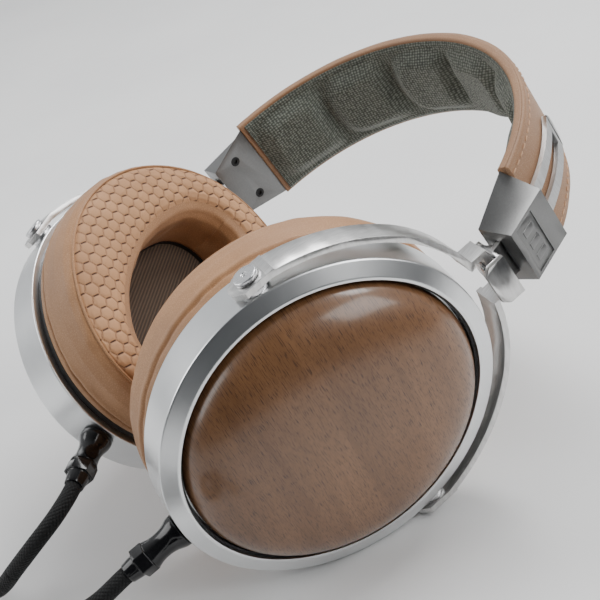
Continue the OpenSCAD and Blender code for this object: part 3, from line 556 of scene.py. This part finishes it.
for side, cup in cups.items():
    count = 440
    angles = np.linspace(0, 2 * np.pi, count, endpoint=False)
    outer, normal = oval(angles, *pad_size)
    inner, _ = oval(angles, *opening_size)
    length = np.r_[0, np.cumsum(np.linalg.norm(np.diff(outer, axis=0), axis=1))]
    seed = 5 if side == "left" else 11
    # Leather side from the pad ring up to the seam: a soft bulge, a sewn crease, puckers at both seams
    t = np.linspace(0, 1, 46)
    height = foot_height - pad_depth * t
    at, bulge = [0, 0.04, 0.12, 0.3, 0.6, 0.85, 0.965, 1], [-1.6, -0.9, -0.35, 0.25, 0.62, 0.15, -0.75, -1.5]
    crease = 0.9 * np.exp(-(((t - crease_at) * tall_skin / 0.5) ** 2))
    fold = 0.25 * np.exp(-(((t - 0.27) * tall_skin / 1.1) ** 2))
    offset = np.interp(t, at, bulge) - crease + fold
    along_side, up_side = np.meshgrid(length, t, indexing="ij")
    near_seam = np.exp(-(((up_side - 1.0) * tall_skin / 4.5) ** 2)) * 0.22
    near_crease = np.exp(-(((up_side - crease_at) * tall_skin / 3.2) ** 2)) * 0.14
    pucker = waves(along_side, up_side * 9, seed, 9) * near_seam
    pucker = pucker + waves(along_side, up_side * 9, seed + 1, 7) * near_crease
    wrinkle = np.maximum(waves(along_side, up_side * 40, seed + 2, 34), 0) ** 2 * 0.22
    swell = np.clip(np.minimum(t, 1 - t) * 12, 0, 1)[None, :]
    out = offset[None, :] + (pucker - wrinkle) * swell
    skin = raised(outer[:, None] + out[..., None] * normal[:, None], height)
    # Fabric face from the seam to the lip of the opening, swollen, with a low pillow in each hexagon
    w = np.linspace(0, 1, 64)
    rim_out, rim_in = outer - 1.9 * normal, inner + 4.2 * normal
    face_xy = rim_out[:, None] * (1 - w)[None, :, None] + rim_in[:, None] * w[None, :, None]
    px, py = face_xy[..., 0], face_xy[..., 1]
    best = np.full(px.shape, 1e9)
    for shift_x, shift_y in ((0, 0), (hexagon / 2, hexagon * tall)):
        qx = np.abs((px - shift_x + hexagon / 2) % hexagon - hexagon / 2)
        qy = np.abs((py - shift_y + hexagon * tall) % (2 * hexagon * tall) - hexagon * tall)
        best = np.minimum(best, np.maximum(qx, qx * 0.5 + qy * tall))
    puff = np.clip((hexagon / 2 - best) / 1.1, 0, 1)
    puff = puff * puff * (3 - 2 * puff)
    fade = np.clip(np.minimum(w * 12, (1 - w) * 14), 0, 1)[None, :]
    at, swelling = [0, 0.04, 0.12, 0.3, 0.55, 0.8, 0.93, 1], [0.0, 0.75, 1.35, 1.95, 2.05, 1.65, 0.95, 0.2]
    soft = waves(px, py, seed + 3, 26) * 0.25
    lift = np.interp(w, at, swelling)[None, :] + ((puff - 0.6) * 0.26 + soft) * fade
    face = raised(face_xy, seam_height - lift)
    # Leather inner wall, over the lip and down to the pad ring
    s = np.linspace(0, 1, 26)[1:]
    fall = np.interp(s, [0, 0.12, 0.3, 1], [-35.0, -33.5, -30.5, -15.6])
    into = np.interp(s, [0, 0.12, 0.3, 1], [4.2, 1.6, 0.35, 0.1])
    around_in = np.r_[0, np.cumsum(np.linalg.norm(np.diff(inner, axis=0), axis=1))]
    held = np.clip((1 - s) * 6, 0, 1) * np.clip(s * 6, 0, 1)
    crumple = waves(*np.meshgrid(around_in, s * tall_skin, indexing="ij"), seed + 4, 12) * 0.3 * held
    wall = raised(inner[:, None] + (into[None, :] + crumple)[..., None] * normal[:, None], fall)
    points = np.concatenate([skin, face, wall], 1)
    which = np.zeros(points.shape[:2], int)
    which[:, len(t) : len(t) + len(w) - 1] = 1
    flat = np.pad(points[..., :2], ((0, 1), (0, 1), (0, 0)), "wrap")
    finishes = [pad_leather, pad_fabric]
    pad = surface(f"sewn ear pad {side}", cup, points, uv=flat, finishes=finishes, which=which)
    stands_for(pad, "ear_pad_" + side)
    # Thin welt in the seam: a circle carried round the pad's edge
    turn = np.linspace(0, 2 * np.pi, 12, endpoint=False)[None, :, None]
    welt_radius, welt_height = 0.42, seam_height - 0.15
    reach = -1.55 + welt_radius * np.cos(turn)
    welt = raised(outer[:, None] + reach * normal[:, None], welt_height + welt_radius * np.sin(turn[..., 0]))
    piping = surface(f"seam welt {side}", cup, welt, finishes=[pad_leather])
    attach(piping, "cup_" + side)


# Behind the pad: a ribbed dark cloth stretched over the driver, the black moulded pad ring and baffle, the
# driver with its film and plated magnet, and the jack socket in the ring's foot.
ribbed, place, run, paint = finish("ribbed dust cloth", Roughness=0.9, Base_Color=(0.09, 0.06, 0.04))
x, y, z = place.parts()
rib = ((x * 0.8 + y * 0.6) * 10500.0).sine()
paint(Base_Color=(rib * 0.5 + 0.5).colours((0.035, 0.022, 0.014), (0.12, 0.078, 0.052)))
paint(Normal=(rib + place.noise(3000, 2)).bump(0.0002, 0.6), Roughness=0.82 + rib * 0.1)
film, place, run, paint = finish("diaphragm film", Roughness=0.35, Base_Color=(0.35, 0.35, 0.33))
paint(Roughness=0.3 + place.noise(700, 2) * 0.15)
plated, place, run, paint = finish("plated metal", Metallic=1.0, Roughness=0.2, Base_Color=(0.75, 0.75, 0.76))
paint(Roughness=0.12 + place.noise(500, 2) * 0.14)
for side in cups:
    coat("dust_cloth_" + side, ribbed)
    for node in ("pad_ring_", "baffle_", "driver_basket_", "jack_socket_"):
        coat(node + side, matt_black)
    coat("driver_magnet_" + side, plated)
    coat("driver_diaphragm_" + side, film)
    coat("connector_pin_" + side, plated)


# Yokes and sliders: brushed strip, stamped and bent. A yoke is an oval hoop on a swivel pin under the
# slider's bracket, and carries its cup between two flat pivot screws on washers.
def refined(node, width, paint_with, segments=2):
    """The CAD piece with its edges rounded, standing for it."""
    source = frame["nodes"][node]
    mesh = bpy.data.meshes.new(node + "_rounded")
    work = bmesh.new()
    work.from_mesh(source.data)
    bmesh.ops.remove_doubles(work, verts=work.verts, dist=2e-6)
    bmesh.ops.dissolve_limit(work, angle_limit=0.01, verts=work.verts, edges=work.edges)
    work.to_mesh(mesh)
    work.free()
    mesh.materials.clear()
    mesh.materials.append(paint_with)
    mesh.polygons.foreach_set("use_smooth", np.ones(len(mesh.polygons), bool))
    made = bpy.data.objects.new(node + "_rounded", mesh)
    bpy.context.scene.collection.objects.link(made)
    bevel = made.modifiers.new("edges", "BEVEL")
    bevel.width = width * 0.001
    bevel.segments = segments
    bevel.limit_method = "ANGLE"
    bevel.angle_limit = np.radians(28)
    bevel.harden_normals = True
    bevel.use_clamp_overlap = True
    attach(made, body_of[node])
    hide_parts(node)
    return made


for side in cups:
    refined("yoke_" + side, 0.3, brushed)
    refined("slider_" + side, 0.22, brushed)
    refined("pivot_screws_" + side, 0.25, steel)
    refined("pivot_washers_" + side, 0.12, steel)
    refined("swivel_pin_" + side, 0.2, steel)


# Headband: a sprung steel strip inside a cover of tan leather, folded round it with rolled edges and sewn
# along both edges.
def arc(angles, radius, depth):
    """Points of the band's own frame at angles from the crown, at a radius and a depth towards the front."""
    return np.stack([radius * np.sin(angles), radius * np.cos(angles), depth + 0 * angles * radius], -1)


def stitches(name, place, line, normal, length, gap, radius, stand=0.4):
    """Short threads laid along a closed or open line: an ellipsoid for each, long way along the line."""
    line, normal = np.asarray(line, float), unit(normal)
    run = np.r_[0, np.cumsum(np.linalg.norm(np.diff(line, axis=0), axis=1))]
    count = int(run[-1] / (length + gap))
    middle = (np.arange(count) + 0.5) * run[-1] / count

    def along(where, values):
        return np.stack([np.interp(where, run, values[:, k]) for k in range(3)], -1)

    at, out = along(middle, line), unit(along(middle, normal))
    way = unit(along(middle + 0.4, line) - along(middle - 0.4, line))
    across = np.cross(out, way)
    tall, wide = 7, 8
    lat = np.linspace(0.06, np.pi - 0.06, tall)
    lon = np.linspace(0, 2 * np.pi, wide, endpoint=False)
    body = np.stack([
        np.broadcast_to(np.cos(lat)[:, None] * 0.5 * length, (tall, wide)),
        np.sin(lat)[:, None] ** 0.6 * np.cos(lon) * radius,
        np.sin(lat)[:, None] ** 0.6 * np.sin(lon) * radius + stand * radius,
    ], -1)
    axes = np.stack([way, across, out], 1)
    points = at[:, None, None] + np.einsum("uvk,nkx->nuvx", body, axes)
    grid = np.arange(tall * wide).reshape(tall, wide)
    beside = np.roll(grid, -1, 1)
    quads = np.stack([grid[:-1], grid[1:], beside[1:], beside[:-1]], -1).reshape(-1, 4)
    ends = [list(grid[0][::-1]), list(grid[-1])]
    faces = []
    for i in range(count):
        offset = i * tall * wide
        faces += (quads[:, ::-1] + offset).tolist() + [[int(v) + offset for v in reversed(e)] for e in ends]
    name = name.replace(" ", "_")
    mesh = bpy.data.meshes.new(name)
    mesh.from_pydata(place(points.reshape(-1, 3)).tolist(), [], faces)
    mesh.materials.append(thread)
    mesh.polygons.foreach_set("use_smooth", np.ones(len(mesh.polygons), bool))
    outward(mesh)
    made = bpy.data.objects.new(name, mesh)
    bpy.context.scene.collection.objects.link(made)
    return made


half_wide, outer_radius, thick = 16.5, 69.0, 4.0
inner_radius = outer_radius - thick
top_edges = [(outer_radius, -half_wide), (outer_radius, half_wide)]
under_edges = [(inner_radius, half_wide), (inner_radius, -half_wide)]
section = rounded(top_edges + under_edges, 1.9, 8)
ends = np.radians(75.5)
swing = np.linspace(-ends, ends, 300)
crown = 0.35 * np.cos(np.clip(np.abs(section[:, 1]) / half_wide, 0, 1) * np.pi / 2) - 0.35
on_top = section[:, 0] > outer_radius - 1.2
seam_in = 3.0
sewn = 0.28 * np.exp(-(((half_wide - np.abs(section[:, 1])) - seam_in) / 0.5) ** 2) * on_top
ripple = waves(np.degrees(swing)[:, None] * 1.2, section[None, :, 1], 21, 22) * 0.10 * on_top
radius = section[None, :, 0] + np.where(on_top, crown - sewn, 0)[None, :] + ripple - 0.02
points = arc(swing[:, None], radius, np.broadcast_to(section[None, :, 1], radius.shape))
cover = surface("leather band cover", band, points, around=False, finishes=[band_leather])
stands_for(cover, "headband_cover")
for depth in (seam_in - half_wide, half_wide - seam_in):
    line = arc(swing, outer_radius - 0.32, depth)
    name = "band stitches " + ("front" if depth > 0 else "rear")
    row_of = stitches(name, band, line, arc(swing, 1.0, 0), 2.3, 0.9, 0.26)
    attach(row_of, "headband")
coat("headband_spring", brushed)


# Cushion under the band: foam under a grey spacer mesh, sewn down along both edges and across the band, which
# leaves six bowed pillows.
mesh_cloth, place, run, paint = finish("grey spacer mesh", Base_Color=(0.14, 0.15, 0.13), Sheen_Weight=0.12)
loop = run.stretched(1, 1.35, 1).cells(900.0, randomness=0.3)
# Painted highlight: the raised loops of the mesh are painted pale grey-green over the darker mesh between
# them.
knot = 1 - loop.span(0.16, 0.52)
tint = run.noise(60, 3).span(0.35, 0.65).colours((0.050, 0.058, 0.047), (0.074, 0.083, 0.068))
paint(Base_Color=knot.colours(tint, (0.23, 0.25, 0.21)))
paint(Roughness=0.8 + loop * 0.1, Normal=(knot + run.noise(3500, 2) * 0.2).bump(0.0003, 0.6))
end_at, pillows = np.radians(74), 6
swing = np.linspace(-end_at, end_at, 460)
wide_by = np.linspace(-1, 1, 84)
share = (swing / end_at + 1) / 2 * pillows
bowed = 0.16 * np.clip(np.minimum(share, pillows - share) * 2, 0, 1) * np.sign(swing)
share = share[:, None] + bowed[:, None] * wide_by[None, :] ** 2
along_pillow = (share % 1 - 0.5) * 2
squareness = 4.5
from_middle = np.abs(along_pillow) ** squareness + np.abs(wide_by[None, :] * 1.12) ** squareness
bulge = np.clip((1 - from_middle ** (1 / squareness)) / 0.42, 0, 1)
bulge = (bulge * bulge * (3 - 2 * bulge)) ** 0.8
over = np.clip(1 - np.abs(wide_by) ** 3.2, 0, 1) ** 0.55
loft = 0.9 + 4.6 * bulge * (0.85 + 0.15 * np.cos(along_pillow * 1.3))
loft = loft + waves(np.degrees(swing)[:, None] * 1.1, wide_by[None, :] * 15, 33, 10) * 0.14 * over[None, :]
sewn_down = np.clip((1 - np.abs(wide_by)) * 14, 0.12, 1)[None, :]
depth = np.broadcast_to(wide_by[None, :] * 15.6, loft.shape)
inside = arc(swing[:, None], inner_radius - np.clip(loft * sewn_down, 0.15, 5.5), depth)
back = arc(swing[:, None], inner_radius - 0.05 + 0 * loft, depth)[:, ::-1]
points = np.concatenate([inside, back], 1)[:, ::-1]
cushion = surface("quilted band cushion", band, points, around=False, finishes=[mesh_cloth])
stands_for(cushion, "headband_cushion")


# End blocks: cast and faceted, each clamping the band's end with two black screws and holding a badge plate
# of plain bars and the slider's catch.
for side in cups:
    refined("end_block_" + side, 0.35, cast, 3)
    refined("badge_" + side, 0.05, cast, 1)
    coat("block_screws_" + side, oxide)
    coat("slider_detent_" + side, steel)


# Connectors: a waisted barrel of gloss black plastic with a hexagonal collar, pushed into each cup's jack.
# The barrel is a circle whose radius changes along its length.
for side, cup in cups.items():
    body = [(0.0, 5.0), (1.2, 5.0), (2.4, 4.6), (4.2, 3.9), (6.0, 3.6), (8.0, 3.6), (9.8, 3.9), (11.0, 4.4)]
    s = np.linspace(0, 11, 60)
    r = np.interp(s, *np.array(body).T)
    r = np.convolve(np.r_[[r[0]] * 4, r, [r[-1]] * 4], np.ones(9) / 9, "valid")
    r[0], r[-1] = r[0] - 0.3, r[-1] - 0.25
    spin = np.linspace(0, 2 * np.pi, 48, endpoint=False)
    points = np.stack([
        np.broadcast_to(-50.8 - s[None, :], (48, 60)),
        np.outer(np.cos(spin), r),
        np.outer(np.sin(spin), r) - 7.4,
    ], -1)
    barrel = surface(f"connector barrel {side}", cup, points[::-1], along=False, finishes=[gloss_black])
    stands_for(barrel, "connector_" + side)
    refined("connector_collar_" + side, 0.3, gloss_black)


# Lead: black braid over rubber, 5 mm thick. Each side's lead drops from its connector to the table and runs
# to the splitter; the trunk is wound in a flat coil held by a tie, and ends in a straight plug.
def braid():
    """Two crossing sets of strands: the size of sin(u + v) times sin(u - v)."""
    dull = {"Specular_IOR_Level": 0.3}
    made, place, run, paint = finish("black braid", Roughness=0.7, Base_Color=(0.02, 0.02, 0.021), **dull)
    u, v, _ = run.parts()
    strand = 2300.0
    thick_thread = ((u * strand + v * strand).sine() * (u * strand - v * strand).sine()).size()
    paint(Base_Color=thick_thread.span(0.0, 0.8).colours((0.0015, 0.0015, 0.0015), (0.012, 0.0125, 0.013)))
    height = thick_thread + run.noise(3000, 2) * 0.2
    paint(Roughness=0.6 + thick_thread * 0.2, Normal=height.bump(0.0003, 0.7))
    return made


braided = braid()
lead_radius = 2.5


def smooth_line(points, first, last, step=1.4):
    """A cubic Hermite line through route points, which leaves along first and arrives along last."""
    points = np.asarray(points, float)
    gaps = np.linalg.norm(np.diff(points, axis=0), axis=1)
    way = np.zeros_like(points)
    way[1:-1] = unit(points[2:] - points[:-2])
    way[0], way[-1] = unit(first), unit(last)
    made = []
    for i, gap in enumerate(gaps):
        t = np.linspace(0, 1, max(3, int(gap / step)) + 1)[:-1, None]
        from_a = (2 * t**3 - 3 * t**2 + 1) * points[i] + (t**3 - 2 * t**2 + t) * way[i] * gap
        from_b = (3 * t**2 - 2 * t**3) * points[i + 1] + (t**3 - t**2) * way[i + 1] * gap
        made.append(from_a + from_b)
    return np.concatenate(made + [points[-1:]])


def rings_of(line, sides=20, radius=lead_radius):
    """Rings of points round a line, carried along it without twist."""
    way = unit(np.gradient(line, axis=0))
    side = unit(np.cross(way[0], [0, 0, 1]))
    turns = np.linspace(0, 2 * np.pi, sides, endpoint=False)
    made = []
    for p, w in zip(line, way):
        side = unit(side - w * (side @ w))
        top = np.cross(side, w)
        made.append(p + radius * (np.cos(turns)[:, None] * side + np.sin(turns)[:, None] * top))
    return np.array(made)


def tube(name, line, begin=0.0):
    """A closed tube round a line; the braid's pattern starts begin millimetres along."""
    rings = rings_of(line)
    run = begin + np.r_[0, np.cumsum(np.linalg.norm(np.diff(line, axis=0), axis=1))]
    strands_round = 2.7318
    round_by = np.linspace(0, 2 * np.pi * strands_round, rings.shape[1] + 1)
    uv = np.stack(np.meshgrid(round_by, run, indexing="ij"), -1)[..., ::-1]
    made = surface(name, row, rings.transpose(1, 0, 2), along=False, uv=uv, finishes=[braided])
    return made


splitter_low, splitter_high = (np.array(c) * 1000 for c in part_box("lead_splitter"))
splitter_middle = (splitter_low + splitter_high) / 2
routes = {
    "left": [
        (27.5, -111.5, 19), (20.5, -120.5, 14.5), (10.5, -127, 9.5), (-1, -131.5, 5.5), (-13, -135.5, 3.1),
        (-25.5, -139.5, 2.5), (-38, -144.5, 2.5), (-49.5, -151.5, 2.5), (-58.5, -161.5, 2.5),
        (-62.5, -174, 2.5), (-60.5, -187, 2.5), (-53, -198, 2.5), (-42, -205.5, 2.5), (-29, -209, 2.9),
        (-16, -209.3, 4.1),
    ],
    "right": [
        (0.5, -104.5, 32), (-1.5, -113.5, 26.5), (-7.5, -120, 19), (-15.5, -124, 11), (-25, -126, 5),
        (-37, -128.5, 2.5), (-50, -132.5, 2.5), (-62, -140, 2.5), (-71.5, -150.5, 2.5), (-77, -164, 2.5),
        (-77.5, -178, 2.5), (-73, -192, 2.5), (-64, -204, 2.5), (-52, -212.5, 2.5), (-38, -216.5, 2.7),
        (-26, -217.4, 3.3), (-16, -217.3, 4.1),
    ],
}
splitter = refined("lead_splitter", 0.7, satin, 3)
for side, cup in cups.items():
    start = cup((-69.8, 0, -7.4)) * 1000
    leaving = -cup.axes[0]
    port = np.array([splitter_low[0], splitter_middle[1] + (4 if side == "left" else -4), splitter_middle[2]])
    line = smooth_line([start, *routes[side], port], leaving, (1, 0, 0))
    run = np.r_[0, np.cumsum(np.linalg.norm(np.diff(line, axis=0), axis=1))]
    bodies = ["cup_" + side, "yoke_" + side, "slider_" + side, "headband"]
    cuts = [0] + [int(np.searchsorted(run, d)) for d in (33, 66, 99)] + [len(line) - 1]
    for k in range(4):
        part = line[cuts[k] : cuts[k + 1] + 1]
        words = ("from the cup", "falling", "reaching the table", "on the table")[k]
        piece = tube(f"lead {side} {words}", part, run[cuts[k]])
        if k < 3:
            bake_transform(piece)
        else:
            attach(piece, "headband")
            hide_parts("lead_" + side)

coil_low, coil_high = (np.array(c) * 1000 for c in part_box("lead_coil"))
centre = (coil_low + coil_high) / 2
plug_low, plug_high = (np.array(c) * 1000 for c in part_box("plug_body"))
leave = np.array([splitter_high[0], splitter_middle[1], splitter_middle[2]])
start_at, full_turns = np.radians(-111.3), 5
whole = full_turns * 2 * np.pi - start_at
sweep = np.linspace(0, whole, 900)
turns_done = sweep / (2 * np.pi)
index = np.clip(turns_done.astype(int), 0, 5)
part_of = np.clip((turns_done - index - 0.72) / 0.28, 0, 1)
part_of = part_of * part_of * (3 - 2 * part_of)
radii = np.array([33, 28, 23, 23, 28, 33, 33.0])
heights = np.repeat([1, 3], [3, 4]) * lead_radius
radii_now = radii[index] * (1 - part_of) + radii[index + 1] * part_of
heights_now = heights[index] * (1 - part_of) + heights[index + 1] * part_of
winding = np.stack([
    centre[0] + radii_now * np.cos(start_at + sweep),
    centre[1] + radii_now * np.sin(start_at + sweep),
    coil_low[2] + heights_now,
], -1)
trunk_route = [leave, (30, -213, 3.8), (40, -211.8, 3.3), (47, -210.0, 3.3), winding[0]]
into = smooth_line(trunk_route, (1, 0, 0), winding[1] - winding[0])
tail_end = np.array([(plug_low[0] + plug_high[0]) / 2, plug_low[1], (plug_low[2] + plug_high[2]) / 2])
tail_route = [winding[-1], (99.1, -166, 8.2), (99.1, -156, 6.4), tail_end]
out_of = smooth_line(tail_route, winding[-1] - winding[-2], (0, 1, 0))
whole_line = np.concatenate([into[:-1], winding, out_of[1:]])
trunk = tube("lead trunk wound in a coil", whole_line)
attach(trunk, "headband")
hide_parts("lead_trunk", "lead_coil", "lead_tail")
plug = refined("plug_body", 0.4, gloss_black)
pin = refined("plug_pin", 0.12, plated, 2)
tie = refined("coil_tie", 0.25, matt_black)
